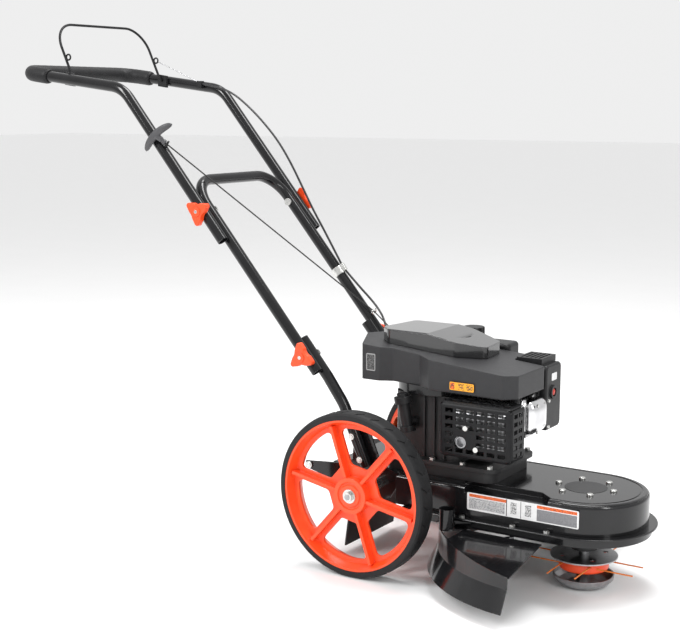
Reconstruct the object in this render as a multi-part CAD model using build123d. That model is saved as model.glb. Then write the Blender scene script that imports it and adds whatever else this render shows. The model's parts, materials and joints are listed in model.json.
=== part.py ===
"""Wheeled string trimmer: a two-wheeled brush mower with a vertical-shaft engine.

Millimetres, +Z up, +X forward (towards the cutting head), +Y the machine's left.
Everything is drawn about the wheel axle, then moved so that the origin is under
the middle of the whole machine. Each function returns one separate piece, or one
group of identical pieces, and main() writes each to its own STEP file.
"""
import os
from math import cos, hypot, pi, radians, sin, sqrt, tan

from build123d import *

# ---- driving dimensions -------------------------------------------------------
WHEEL_RADIUS = 178.0          # 14 inch wheel
TYRE_WIDTH = 50.0
TYRE_DEPTH = 15.0             # solid rubber band outside the rim
WHEEL_OUTER_Y = 241.0         # outer face of each tyre
AXLE_RADIUS = 6.0
HUB_RADIUS = 39.0
SPOKES = 6
SPOKE_START = 49.0            # degrees from forwards, towards up

DECK_TOP = 208.0
PAN_HALF_WIDTH = 130.0
PAN_BOTTOM = 143.0
PAN_REAR = 50.0
SHEET = 2.5
TRAY_REAR = -121.0
TRAY_HALF_WIDTH = 112.0
TRAY_DEPTH = 18.0
SPINDLE_X = 430.0             # cutting head axis
FLANGE_RADIUS = 148.0
BASE_DEPTH = 21.0

GUARD_RADIUS = 300.0          # trailing guard around the string's circle
GUARD_FLARE = 326.0
GUARD_TOP = 122.0
GUARD_FLOOR = 30.0
GUARD_HALF_TURN = 84.0        # degrees each side of straight back
GUARD_SEGMENTS = 8
GUARD_SLOPE_START = 226.0     # X where the top edge starts to fall
GUARD_SLOPE = 0.14
GUARD_APRON_INNER = -149.0    # Y of the apron's inner edge, at the frame plate

CRANK_X = 90.0                # engine crankshaft axis
SHROUD_BOTTOM = 400.0
SHROUD_REAR_TOP = 482.0
SHROUD_FRONT_TOP = 447.0
CRANK_PULLEY_RADIUS = 28.0
HEAD_PULLEY_RADIUS = 42.0
BELT_Z = 178.0

TUBE_RADIUS = 12.5            # handle tubes, 25 mm
TUBE_WALL = 1.5
HANDLE_STEP = 25.4            # each section sits beside the next one
UPPER_Y = 184.0
MIDDLE_Y = UPPER_Y - HANDLE_STEP
LOWER_Y = MIDDLE_Y - HANDLE_STEP
LOWER_PIVOT = (-161.0, 449.0)   # X and Z of the lower knobs
UPPER_PIVOT = (-421.0, 755.0)   # X and Z of the upper knobs
ARM_CORNER = (-651.0, 1027.0)
GRIP = (-964.0, 1066.0)
GRIP_RADIUS = 18.5
GRIP_END = -882.0             # X where the foam sleeve ends on each arm
LOWER_BOLTS = ((-51.0, 281.0), (-30.0, 232.0))   # X and Z of the tubes' bolts
BAIL_PIVOT = (-830.0, 1050.0)
BAIL_TOP = (-890.0, 1180.0)
BAIL_Y = 158.0
WIRE_RADIUS = 3.0

ROPE_HOOK = (-518.0, -190.0, 902.0)    # starter rope eyelet on the upper handle
ROPE_GUIDE = (-181.0, 156.0, 504.0)    # starter rope eyelet on the middle handle
ROPE_OUTLET = (-66.0, 50.0, 484.0)     # where the rope enters the engine
ROPE_RADIUS = 1.6
CABLE_RADIUS = 2.6


# ---- small helpers ------------------------------------------------------------
def block(x0, x1, y0, y1, z0, z1):
    """A box between two corners."""
    size = Box(x1 - x0, y1 - y0, z1 - z0)
    return Pos((x0 + x1) / 2, (y0 + y1) / 2, (z0 + z1) / 2) * size


def rod(start, end, radius, bore=0.0):
    """A round bar, or a pipe, between two points."""
    line = Vector(*end) - Vector(*start)
    plane = Plane(origin=start, z_dir=line.normalized())
    bar = plane * extrude(Circle(radius), line.length)
    if bore:
        bar -= plane * extrude(Circle(bore), line.length)
    return bar


def disc(x, y, z0, z1, radius, bore=0.0):
    """A round piece about an upright axis."""
    return rod((x, y, z0), (x, y, z1), radius, bore)


def cross_disc(x, z, y0, y1, radius, bore=0.0):
    """A round piece about an axis across the machine."""
    return rod((x, y0, z), (x, y1, z), radius, bore)


def plate_xz(points, y0, y1):
    """A flat plate seen from the side, from y0 to y1."""
    outline = Polyline(*[(x, z) for x, z in points], close=True)
    face = make_face(outline)
    plane = Plane(origin=(0, y1, 0), x_dir=(1, 0, 0), z_dir=(0, -1, 0))
    return plane * extrude(face, y1 - y0)


def slab_xy(points, z0, z1, corner=0.0):
    """A flat plate seen from above, from z0 to z1, with rounded corners."""
    face = make_face(Polyline(*points, close=True))
    slab = Pos(0, 0, z0) * extrude(face, z1 - z0)
    if corner:
        slab = fillet(slab.edges().filter_by(Axis.Z), corner)
    return slab


def bent_bar(points, radii, radius, bore=0.0):
    """A round bar or pipe along straight runs joined by tangent arcs."""
    path = FilletPolyline(*points, radius=radii) if radii else Polyline(*points)
    start = Plane(origin=path @ 0, z_dir=path % 0)
    section = Circle(radius) - Circle(bore) if bore else Circle(radius)
    return sweep(start * section, path=path)


def cord_radii(points):
    """The arc at each inner point: 0.45 of its shorter run over tan(half turn)."""
    radii = []
    for a, b, c in zip(points, points[1:], points[2:]):
        before = Vector(*b) - Vector(*a)
        after = Vector(*c) - Vector(*b)
        turn = radians(before.get_angle(after))
        radii.append(0.45 * min(before.length, after.length) / tan(turn / 2))
    return radii


def cord_tube(name, points, radius):
    """A cord's tube; prints its arcs and compares volume with section x length."""
    radii = cord_radii(points)
    path = FilletPolyline(*points, radius=radii) if radii else Line(*points)
    start = Plane(origin=path @ 0, z_dir=path % 0)
    tube = sweep(start * Circle(radius), path=path)
    ideal = pi * radius ** 2 * path.length
    arcs = " ".join(f"{value:.0f}" for value in radii)
    print(f"{name}: length {path.length:.0f}, radii {arcs}, volume ratio {tube.volume / ideal:.4f}")
    return tube


def along_legs(distance, forward=0.0):
    """X and Z of a point on the sloping handle legs, measured from the lower knobs."""
    dx = UPPER_PIVOT[0] - LOWER_PIVOT[0]
    dz = UPPER_PIVOT[1] - LOWER_PIVOT[1]
    length = hypot(dx, dz)
    ux, uz = dx / length, dz / length
    return (LOWER_PIVOT[0] + ux * distance + uz * forward,
            LOWER_PIVOT[1] + uz * distance - ux * forward)


LEG_LENGTH = hypot(UPPER_PIVOT[0] - LOWER_PIVOT[0], UPPER_PIVOT[1] - LOWER_PIVOT[1])


def both_sides(shape):
    """A piece and its mirror image across the machine's middle."""
    return shape + mirror(shape, about=Plane.XZ)


# ---- wheels -------------------------------------------------------------------
RIM_RADIUS = WHEEL_RADIUS - TYRE_DEPTH
WHEEL_INNER_Y = WHEEL_OUTER_Y - TYRE_WIDTH
WHEEL_MIDDLE_Y = (WHEEL_OUTER_Y + WHEEL_INNER_Y) / 2


def wheel_plane(side):
    """A plane at the wheel's middle, facing outwards, X forwards."""
    return Plane(origin=(0, side * WHEEL_MIDDLE_Y, WHEEL_RADIUS), x_dir=(-side, 0, 0),
                 z_dir=(0, side, 0))


def tyre(side):
    """Solid rubber band with rounded shoulders and a chevron tread."""
    half = TYRE_WIDTH / 2
    crown = 3.0
    profile = [(RIM_RADIUS, -half), (WHEEL_RADIUS - 5, -half), (WHEEL_RADIUS - 1.5, 4 - half),
               (WHEEL_RADIUS, 8 + crown - half), (WHEEL_RADIUS, half - 8 - crown),
               (WHEEL_RADIUS - 1.5, half - 4), (WHEEL_RADIUS - 5, half), (RIM_RADIUS, half)]
    band = revolve(Plane.XZ * make_face(Polyline(*profile, close=True)), axis=Axis.Z)
    lug_count = 30
    groove_depth = 1.6
    cuts = []
    for index in range(lug_count):
        for hand in (-1, 1):
            place = Rot(0, 0, index * 360 / lug_count) * Pos(WHEEL_RADIUS, 0, 0) * Rot(0, 90, 0)
            groove = Rot(0, 0, 90 + hand * 35) * Box(4, 22, groove_depth * 2)
            cuts.append(place * Pos(hand * 11, 0, 0) * groove)
    band -= cuts
    return wheel_plane(side) * band


def window(angle):
    """One of the openings between two spokes, as a solid cutter."""
    outer, inner = 141.0, 64.0
    half_turn = 180.0 / SPOKES
    half_spoke = 13.0
    points = []
    for radius, hand in ((inner, -1), (inner, 1), (outer, 1), (outer, -1)):
        spread = radians(half_turn) - half_spoke / radius
        points.append((radius * cos(hand * spread), radius * sin(hand * spread)))
    bow = (outer, 0)
    outline = Line(points[0], points[1]) + Line(points[1], points[2])
    outline += ThreePointArc(points[2], bow, points[3]) + Line(points[3], points[0])
    cutter = extrude(make_face(outline), 40, both=True)
    cutter = fillet(cutter.edges().filter_by(Axis.Z), 11)
    return Rot(0, 0, angle) * cutter


def rim(side):
    """Moulded rim: channel, recessed web with six windows, ribbed spokes and hub."""
    half = TYRE_WIDTH / 2 - 1
    profile = [
        (AXLE_RADIUS + 0.05, -half), (HUB_RADIUS, -half), (HUB_RADIUS, -3), (141, -3),
        (150, -half), (RIM_RADIUS, -half), (RIM_RADIUS, half), (158, half), (150, 3),
        (HUB_RADIUS + 1, 3), (HUB_RADIUS, half - 3), (30, half - 3), (28, half - 6),
        (25, half - 6), (23, half - 3), (AXLE_RADIUS + 0.05, half - 3),
    ]
    section = make_face(Polyline(*profile, close=True))
    body = revolve(Plane.XZ * section, axis=Axis.Z)
    # seen from outside, the spokes start SPOKE_START above forwards
    angles = [SPOKE_START + index * 360 / SPOKES for index in range(SPOKES)]
    turned = [180 - angle if side > 0 else angle for angle in angles]
    body -= [window(angle + 180 / SPOKES) for angle in turned]
    rib_height = half - 7
    for angle in turned:
        rib = Pos(93, 0, rib_height / 2 + 2) * Box(116, 7, rib_height)
        body += Rot(0, 0, angle) * rib
    return wheel_plane(side) * body


def hub_nuts():
    """Domed lock nuts that hold both wheels on the axle."""
    outer = WHEEL_OUTER_Y - 3.8
    washer = rod((0, outer, WHEEL_RADIUS), (0, outer + 2, WHEEL_RADIUS), 15, AXLE_RADIUS)
    hexagon = extrude(RegularPolygon(11, 6), 7)
    nut = Plane(origin=(0, outer + 2, WHEEL_RADIUS), z_dir=(0, 1, 0)) * hexagon
    nut -= cross_disc(0, WHEEL_RADIUS, outer, outer + 20, AXLE_RADIUS)
    return both_sides(washer + nut)


def axle():
    """Steel rod through both side plates and both wheels."""
    half = WHEEL_OUTER_Y + 6
    return cross_disc(0, WHEEL_RADIUS, -half, half, AXLE_RADIUS)


def axle_spacers():
    """Sleeves between the side plates and the wheels."""
    spacer = cross_disc(0, WHEEL_RADIUS, SIDE_PLATE_OUTER, WHEEL_INNER_Y + 0.5, 11, AXLE_RADIUS)
    return both_sides(spacer)


# ---- deck ---------------------------------------------------------------------
SIDE_PLATE_INNER = TRAY_HALF_WIDTH + 4.0
SIDE_PLATE_OUTER = SIDE_PLATE_INNER + 4.0


def pan_shape(half_width, rear, z0, z1):
    """A long plate with straight sides and a half-round front end."""
    straight = block(rear, SPINDLE_X, -half_width, half_width, z0, z1)
    return straight + disc(SPINDLE_X, 0, z0, z1, half_width)


def deck_pan():
    """Pressed belt cover: an upturned pan with a raised bead and a near-side ledge."""
    outer = pan_shape(PAN_HALF_WIDTH, PAN_REAR, PAN_BOTTOM, DECK_TOP)
    outer = fillet(outer.edges().group_by(Axis.Z)[-1], 9)
    inner = pan_shape(PAN_HALF_WIDTH - SHEET, PAN_REAR + SHEET, PAN_BOTTOM - 1, DECK_TOP - SHEET)
    ledge = slab_xy([(215, -80), (370, -84), (402, -112), (402, -140), (215, -140)],
                    DECK_TOP - 12, DECK_TOP + 1)
    ledge_skin = slab_xy([(212, -77), (372, -81), (405, -110), (405, -140), (212, -140)],
                         DECK_TOP - 12 - SHEET, DECK_TOP)
    bead = pan_shape(PAN_HALF_WIDTH - 14, 200, DECK_TOP - 1.2, DECK_TOP + 1)
    bead -= pan_shape(PAN_HALF_WIDTH - 19, 205, DECK_TOP - 2, DECK_TOP + 2)
    pan = outer - inner + (ledge_skin & outer) - ledge - bead
    pan -= disc(CRANK_X, 0, DECK_TOP - 5, DECK_TOP + 5, 30)
    pan -= [disc(x, y, DECK_TOP - 5, DECK_TOP + 5, 3.2) for x, y in cover_screw_places()]
    return pan


def engine_tray():
    """Rear half of the deck: a shallow folded tray between the side plates."""
    tray = block(TRAY_REAR, PAN_REAR, -TRAY_HALF_WIDTH, TRAY_HALF_WIDTH,
                 DECK_TOP - TRAY_DEPTH, DECK_TOP)
    tray -= block(TRAY_REAR + SHEET, PAN_REAR + 1, SHEET - TRAY_HALF_WIDTH,
                  TRAY_HALF_WIDTH - SHEET, DECK_TOP - TRAY_DEPTH - 1, DECK_TOP - SHEET)
    tabs = block(-40, PAN_REAR, TRAY_HALF_WIDTH, SIDE_PLATE_INNER, DECK_TOP - 16, DECK_TOP - 2)
    return tray + both_sides(tabs)


def cover_screw_places():
    return [(SPINDLE_X + 60.4 * cos(radians(60 * k)), 60.4 * sin(radians(60 * k)))
            for k in range(6)]


def cover_screws():
    """Six screws through the cover into the spindle housing's top plate."""
    screws = []
    for x, y in cover_screw_places():
        head = fillet(disc(x, y, DECK_TOP, DECK_TOP + 4.5, 7).edges().group_by(Axis.Z)[-1], 2)
        screws.append(head + disc(x, y, DECK_TOP - 10, DECK_TOP, 3.2))
    return Compound(screws)


def deck_base():
    """Lower frame plate: a flange under the belt cover with a turned-down edge."""
    rear = PAN_REAR + 20
    plate = pan_shape(FLANGE_RADIUS, rear, PAN_BOTTOM - BASE_DEPTH, PAN_BOTTOM)
    plate = fillet(plate.edges().group_by(Axis.Z)[-1], 2)
    hollow = pan_shape(FLANGE_RADIUS - 14, rear + SHEET, PAN_BOTTOM - BASE_DEPTH - 1,
                       PAN_BOTTOM - SHEET)
    lip = pan_shape(FLANGE_RADIUS + 5, rear - 5, PAN_BOTTOM - BASE_DEPTH - 1,
                    PAN_BOTTOM - SHEET * 1.5)
    lip -= pan_shape(FLANGE_RADIUS - 11.5, rear - 6, PAN_BOTTOM - BASE_DEPTH - 2, PAN_BOTTOM)
    plate = plate - hollow - lip
    return plate - disc(SPINDLE_X, 0, PAN_BOTTOM - 30, PAN_BOTTOM + 5, 38)


def flange_bolt_places():
    return [(x, side * (FLANGE_RADIUS - 9)) for x in (215, 330, 405) for side in (-1, 1)]


def flange_bolts():
    """Hexagon bolts through the rim of the lower frame plate."""
    bolts = []
    for x, y in flange_bolt_places():
        head = Pos(x, y, PAN_BOTTOM) * extrude(RegularPolygon(6.5, 6), 5)
        bolts.append(head)
    return Compound(bolts)


def side_plate(side):
    """Steel plate that carries the axle and one lower handle tube."""
    outline = [(-190, 186), (-97, 163), (-30, 150), (0, 140), (30, 150), (48, 180),
               (48, 206), (6, 222), (-24, 296), (-62, 296), (-66, 222), (-97, 209), (-190, 201)]
    plate = plate_xz(outline, SIDE_PLATE_INNER, SIDE_PLATE_OUTER)
    plate -= cross_disc(0, WHEEL_RADIUS, 100, 140, AXLE_RADIUS)
    plate -= cross_disc(-180, 193, 100, 140, 5)
    plate -= [cross_disc(x, z, 100, 140, 4.0) for x, z in LOWER_BOLTS]
    return plate if side > 0 else mirror(plate, about=Plane.XZ)


def side_plate_bolts():
    """Bolts through the rear tips of the side plates."""
    bolt = cross_disc(-180, 193, SIDE_PLATE_INNER, SIDE_PLATE_OUTER + 5, 5)
    bolt += cross_disc(-180, 193, SIDE_PLATE_OUTER, SIDE_PLATE_OUTER + 4, 8)
    return both_sides(bolt)


def far_panel():
    """Sloping orange side panel on the left, with a folded rear edge."""
    y1 = SIDE_PLATE_INNER
    panel = plate_xz([(-150, 104), (-88, 98), (-27, 250), (-36, 272), (-82, 272)], y1 - 3, y1)
    fold = plate_xz([(-150, 104), (-147, 104), (-79, 272), (-82, 272)], y1 - 28, y1)
    tray_gap = block(TRAY_REAR - 1, 0, y1 - 40, TRAY_HALF_WIDTH, DECK_TOP - 30, DECK_TOP + 1)
    return panel + (fold - tray_gap)


def rear_flap():
    """Rubber flap across the back that stops thrown debris."""
    flap = plate_xz([(-97, 15), (-93, 15), (-70, 188), (-74, 188)], -104, 104)
    foot = plate_xz([(-74, 188), (-70, 188), (-70, 205.5), (-74, 205.5)], -104, 104)
    return flap + foot


# ---- trailing guard -----------------------------------------------------------
def guard_top_edge(x):
    """Height of the guard's top edge, which falls away towards the front."""
    return GUARD_TOP - max(0.0, x - GUARD_SLOPE_START) * GUARD_SLOPE


def guard_apron(x0, x1):
    """A sloping strip of sheet from the lower frame plate out to the guard's top edge."""
    sections = []
    for x in (x0, x1):
        edge_y = -sqrt((GUARD_RADIUS - 0.2) ** 2 - (SPINDLE_X - x) ** 2)
        inner = (GUARD_APRON_INNER, GUARD_TOP - SHEET)
        outer = (edge_y, guard_top_edge(x) - SHEET)
        corners = [(x, inner[0], inner[1]), (x, outer[0], outer[1]),
                   (x, outer[0], outer[1] + SHEET), (x, inner[0], inner[1] + SHEET)]
        sections.append(make_face(Polyline(*corners, close=True)))
    return loft(sections, ruled=True)


def guard_skirt():
    """Sheet guard behind the head: a curved, flared wall with a sloping top, in segments."""
    profile = [(GUARD_RADIUS, GUARD_TOP), (GUARD_RADIUS + SHEET, GUARD_TOP),
               (GUARD_RADIUS + SHEET + 2, 75), (GUARD_FLARE, GUARD_FLOOR),
               (GUARD_FLARE - SHEET, GUARD_FLOOR), (GUARD_RADIUS + 2, 75)]
    section = Plane.XZ * make_face(Polyline(*profile, close=True))
    front = SPINDLE_X + 60
    slope = plate_xz([(GUARD_SLOPE_START, GUARD_TOP), (front, guard_top_edge(front)),
                      (front, GUARD_TOP + 5), (GUARD_SLOPE_START, GUARD_TOP + 5)], -340, 340)
    step = 2 * GUARD_HALF_TURN / GUARD_SEGMENTS
    segments = []
    for index in range(GUARD_SEGMENTS):
        start = 180 - GUARD_HALF_TURN + index * step
        segment = revolve(section, axis=Axis.Z, revolution_arc=step)
        segments.append(Pos(SPINDLE_X, 0, 0) * Rot(0, 0, start) * segment - slope)
    ring = Plane.XZ * make_face(Polyline(
        (GUARD_RADIUS - 60, GUARD_TOP), (GUARD_RADIUS - 0.2, GUARD_TOP),
        (GUARD_RADIUS - 0.2, GUARD_TOP - SHEET), (GUARD_RADIUS - 60, GUARD_TOP - SHEET),
        close=True))
    for start in (144, 180):
        segments.append(Pos(SPINDLE_X, 0, 0) * Rot(0, 0, start)
                        * revolve(ring, axis=Axis.Z, revolution_arc=36))
    for x0, x1 in ((226, 280), (280, 340), (340, 400)):
        apron = guard_apron(x0, x1)
        segments += [apron, mirror(apron, about=Plane.XZ)]
    return Compound(segments)


def guard_posts():
    """Rolled upright posts at the guard's rear corners, up to the frame plate."""
    posts = []
    for side in (-1, 1):
        x = SPINDLE_X + (GUARD_RADIUS - 12) * cos(radians(215))
        y = side * (GUARD_RADIUS - 12) * sin(radians(35))
        posts.append(disc(x, y, GUARD_TOP, 166, 17, 14))
    return Compound(posts)


def guard_struts():
    """Bars from the lower frame plate out to the guard posts and skirt."""
    struts = []
    for side in (-1, 1):
        x = SPINDLE_X + (GUARD_RADIUS - 12) * cos(radians(215))
        y = (GUARD_RADIUS - 12) * sin(radians(35))
        struts.append(rod((x + 8, side * (y - 16), 133), (x + 60, side * 120, 133), 5))
        struts.append(rod((330, side * 132, 118), (250, side * 215, 108), 4.5))
    return Compound(struts)


# ---- drive and cutting head ---------------------------------------------------
def pulley(x, z, radius, bore):
    """A V-belt pulley about an upright axis."""
    groove = 7
    profile = [(bore, z - 9), (radius + 2, z - 9), (radius + 2, z - groove), (radius - 6, z - 2),
               (radius - 6, z + 2), (radius + 2, z + groove), (radius + 2, z + 9), (bore, z + 9)]
    return Pos(x, 0, 0) * revolve(Plane.XZ * make_face(Polyline(*profile, close=True)), axis=Axis.Z)


def crankshaft():
    """Engine shaft from the recoil cup down to the drive pulley."""
    return disc(CRANK_X, 0, BELT_Z - 12, 432, 11)


def crank_pulley():
    return pulley(CRANK_X, BELT_Z, CRANK_PULLEY_RADIUS, 11)


def flywheel():
    """Finned flywheel under the shroud."""
    wheel = disc(CRANK_X, 0, 408, 418, 84, 11)
    fins = []
    for index in range(16):
        fin = Pos(CRANK_X, 0, 0) * Rot(0, 0, index * 360 / 16) * Pos(70, 0, 423) * Box(24, 3, 11)
        fins.append(fin)
    return wheel + fins


def spindle():
    """Head shaft with its drive pulley's seat and the head's thread."""
    return disc(SPINDLE_X, 0, 30, BELT_Z + 16, 10)


def head_pulley():
    return pulley(SPINDLE_X, BELT_Z, HEAD_PULLEY_RADIUS, 10)


def drive_belt():
    """V-belt around both pulleys, as one closed loop."""
    loop = []
    for grow in (0.0, 6.0):
        small = CRANK_PULLEY_RADIUS - 5.4 + grow
        large = HEAD_PULLEY_RADIUS - 5.4 + grow
        gap = SPINDLE_X - CRANK_X
        lean = radians(90) + (large - small) / gap
        near = [(CRANK_X + small * cos(lean), -small * sin(lean)),
                (SPINDLE_X + large * cos(lean), -large * sin(lean)),
                (SPINDLE_X + large * cos(lean), large * sin(lean)),
                (CRANK_X + small * cos(lean), small * sin(lean))]
        strip = Pos(0, 0, BELT_Z - 1.7) * extrude(make_face(Polyline(*near, close=True)), 3.4)
        strip += disc(CRANK_X, 0, BELT_Z - 1.7, BELT_Z + 1.7, small)
        strip += disc(SPINDLE_X, 0, BELT_Z - 1.7, BELT_Z + 1.7, large)
        loop.append(strip)
    return loop[1] - loop[0]


def spindle_housing():
    """Cast housing that hangs the spindle under the frame plate."""
    body = disc(SPINDLE_X, 0, 78, PAN_BOTTOM, 27, 21)
    body += disc(SPINDLE_X, 0, PAN_BOTTOM, PAN_BOTTOM + 5, 52, 21)
    body += disc(SPINDLE_X, 0, 100, 104, 27, 12)
    for index in range(4):
        web = Pos(SPINDLE_X, 0, 0) * Rot(0, 0, 45 + 90 * index) * Pos(31, 0, 128) * Box(10, 5, 29)
        body += web
    return body


def spindle_bearings():
    """Two sealed ball bearings pressed into the housing."""
    return Compound([disc(SPINDLE_X, 0, z, z + 12, 21, 10.02) for z in (84, 126)])


def head_plate():
    """Steel wear disc above the string head."""
    plate = disc(SPINDLE_X, 0, 62, 65, 70, 10)
    holes = []
    for index in range(4):
        holes.append(Rot(0, 0, 45 + 90 * index) * disc(48, 0, 60, 70, 6))
    return plate - [Pos(SPINDLE_X, 0, 0) * hole for hole in holes]


def string_head():
    """Moulded head with four cross holes that hold the cutting lines."""
    head = disc(SPINDLE_X, 0, 36, 62, 52, 10)
    head = fillet(head.edges().group_by(Axis.Z)[0].sort_by(SortBy.RADIUS)[-1:], 6)
    for angle in (0, 90):
        for offset in (-30, 30):
            hole = rod((-60, offset, 50 + line_rise(angle)), (60, offset, 50 + line_rise(angle)), 2.2)
            head -= Pos(SPINDLE_X, 0, 0) * Rot(0, 0, angle) * hole
    return head


def line_rise(angle):
    """The crossing lines pass one above the other."""
    return 2.4 if angle else -2.4


def cutting_lines():
    """Nylon lines, each pushed through one pair of holes."""
    lines = []
    for angle in (0, 90):
        for offset in (-30, 30):
            line = rod((-118, offset, 50), (118, offset, 50), 1.5)
            spin = Pos(SPINDLE_X, 0, line_rise(angle)) * Rot(0, 0, angle)
            lines.append(spin * line)
    return Compound(lines)


def support_bowl():
    """Free-turning dished foot that carries the front on the ground."""
    profile = [(0, 0), (34, 0), (52, 5), (62, 15), (64, 24), (61, 24), (59, 16.5), (50, 8),
               (34, 3), (0, 3)]
    bowl = revolve(Plane.XZ * make_face(Polyline(*profile, close=True)), axis=Axis.Z)
    hub = disc(0, 0, 3, 29.5, 14)
    return Pos(SPINDLE_X, 0, 0) * (bowl + hub)


# ---- engine -------------------------------------------------------------------
def sump():
    """Oil sump and mounting flange on the deck."""
    foot = slab_xy([(0, -92), (262, -92), (262, 92), (0, 92)], DECK_TOP, 232, 24)
    flange = slab_xy([(-6, -100), (272, -100), (272, 100), (-6, 100)], 232, 241, 26)
    hollow = block(22, 240, -74, 74, DECK_TOP + 6, 242)
    boss = disc(CRANK_X, 0, DECK_TOP, 241, 20)
    return foot + flange - hollow + boss - disc(CRANK_X, 0, 200, 250, 11.05)


def engine_bolts():
    """Flange bolts that join the crankcase to the sump."""
    bolts = []
    for x in (20, 118, 190, 254):
        for side in (-1, 1):
            bolts.append(Pos(x, side * 92, 241) * extrude(RegularPolygon(6.5, 6), 6))
    return Compound(bolts)


def crankcase():
    """Cast crankcase with upright stiffening ribs."""
    case = slab_xy([(14, -82), (182, -82), (182, 82), (14, 82)], 241, 380, 26)
    case += [block(x, x + 4, -88, 88, 244, 376) for x in (92, 116, 140)]
    case -= block(24, 172, -72, 72, 240, 371)
    return case - disc(CRANK_X, 0, 240, 400, 11.05)


def cylinder():
    """Finned cylinder and head pointing forwards."""
    barrel = rod((182, 0, 343), (300, 0, 343), 35)
    fins = []
    for index in range(9):
        x = 190 + index * 11
        fins.append(block(x, x + 3.5, -52, 39, 300, 388))
    head = block(286, 304, -56, 37, 302, 390)
    return barrel + fins + head


def valve_cover():
    """Bright domed valve cover on the front of the head."""
    cover = block(304, 334, -58, 34, 303, 393)
    cover = fillet(cover.edges().filter_by(Axis.X), 20)
    return fillet(cover.edges().group_by(Axis.X)[-1], 9)


def valve_cover_bolts():
    """Four small bolts on the valve cover's face."""
    bolts = [rod((334, y, z), (337, y, z), 3.5) for y in (-40, 16) for z in (320, 376)]
    return Compound(bolts)


def spark_plug():
    """Spark plug with its rubber boot, above the exhaust side of the head."""
    plug = rod((295, -57, 376), (299, -72, 394), 8)
    return plug + rod((299, -72, 394), (301, -79, 402), 10)


def muffler():
    """Pressed silencer box on the near side of the cylinder."""
    box = fillet(block(184, 312, -138, -93, 288, 372).edges(), 12)
    box -= block(188, 308, -134, -97, 292, 368)
    pipe = rod((245, -94, 330), (245, -52.3, 330), 14, 10)
    return box + pipe


MUFFLER_X0, MUFFLER_X1 = 163.0, 330.0
GUARD_FACE_Y = -152.0


def muffler_guard():
    """Slotted heat guard over the silencer."""
    outer = block(MUFFLER_X0, MUFFLER_X1, GUARD_FACE_Y, -91, 272, 388)
    outer = fillet(outer.edges().filter_by(Axis.Y), 12)
    outer = fillet(outer.edges().group_by(Axis.Y)[0], 10)
    inner = block(MUFFLER_X0 + 3, MUFFLER_X1 - 3, GUARD_FACE_Y + 3, -90, 275, 385)
    shell = outer - inner
    slots = []
    for row in range(6):
        z = 284 + row * 16.5
        for column in range(6):
            x = MUFFLER_X0 + 16 + column * 24
            if column in (1, 2) and row in (1, 2):
                continue
            slots.append(block(x, x + 18, GUARD_FACE_Y - 1, GUARD_FACE_Y + 6, z, z + 9))
        for y in (-140, -118):
            slots.append(block(MUFFLER_X1 - 6, MUFFLER_X1 + 1, y, y + 16, z, z + 9))
            slots.append(block(MUFFLER_X0 - 1, MUFFLER_X0 + 6, y, y + 16, z, z + 9))
    for column in range(6):
        x = MUFFLER_X0 + 16 + column * 24
        slots.append(block(x, x + 18, -138, -124, 384, 390))
        slots.append(block(x, x + 18, -114, -98, 384, 390))
    shell -= slots
    return shell - cross_disc(214, 305, GUARD_FACE_Y - 1, -140, 14)


def muffler_bolts():
    """Two bolts through the guard's face."""
    places = ((228, 338), (252, 296))
    return Compound([cross_disc(x, z, GUARD_FACE_Y - 5, GUARD_FACE_Y, 5.5) for x, z in places])


def exhaust_pipe():
    """Short outlet tube behind the guard's round hole."""
    return cross_disc(214, 305, GUARD_FACE_Y + 4, -136, 12, 9.5)


def blower_housing():
    """Round pressed housing between the crankcase and the shroud."""
    shell = disc(CRANK_X, 0, 380, SHROUD_BOTTOM, 96)
    shell -= disc(CRANK_X, 0, 383, SHROUD_BOTTOM + 1, 92.5)
    return shell - disc(CRANK_X, 0, 370, SHROUD_BOTTOM, 14)


def shroud_outline():
    """Plan shape of the engine shroud, from the rear, along the right, to the front."""
    return [(-108, 10), (-56, -98), (-12, -98), (14, -84), (84, -92), (122, -120),
            (298, -128), (320, -104), (322, 24), (246, 28), (246, 98), (-70, 98)]


def shroud():
    """Moulded engine cover, higher at the rear, open underneath."""
    body = slab_xy(shroud_outline(), SHROUD_BOTTOM, SHROUD_REAR_TOP + 2, 9)
    slope = plate_xz([(-120, SHROUD_REAR_TOP), (330, SHROUD_FRONT_TOP), (330, 520), (-120, 520)],
                     -150, 150)
    body -= slope
    outline = make_face(Polyline(*shroud_outline(), close=True))
    inner = Pos(0, 0, SHROUD_BOTTOM - 1) * extrude(offset(outline, -3), 85)
    body -= inner - Pos(0, 0, -3.5) * slope
    return body - disc(CRANK_X, 20, SHROUD_FRONT_TOP - 12, 500, 62)


def starter_lid():
    """Glossy domed lid over the recoil starter."""
    outline = [(-48, -22), (-20, -50), (150, -56), (206, -20), (200, 60), (120, 92), (-30, 92)]
    lid = slab_xy(outline, 440, 506, 16)
    slope = plate_xz([(-60, 508), (80, 506), (216, 480), (216, 520), (-60, 520)], -150, 150)
    under = plate_xz([(-60, 430), (216, 430), (216, 456.4), (-60, 477.6)], -150, 150)
    lid = lid - slope - under
    lid = fillet(lid.edges().group_by(Axis.Z)[-1], 3)
    return lid - disc(CRANK_X, 20, 430, 494, 55)


def recoil_pulley():
    """Rope drum of the recoil starter."""
    drum = disc(CRANK_X, 0, 446, 450, 40, 8) + disc(CRANK_X, 0, 450, 458, 34, 8)
    return drum + disc(CRANK_X, 0, 458, 462, 40, 8)


def recoil_post():
    """Post under the lid that the rope drum turns on."""
    return disc(CRANK_X, 0, 440, 494, 7.95)


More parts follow.
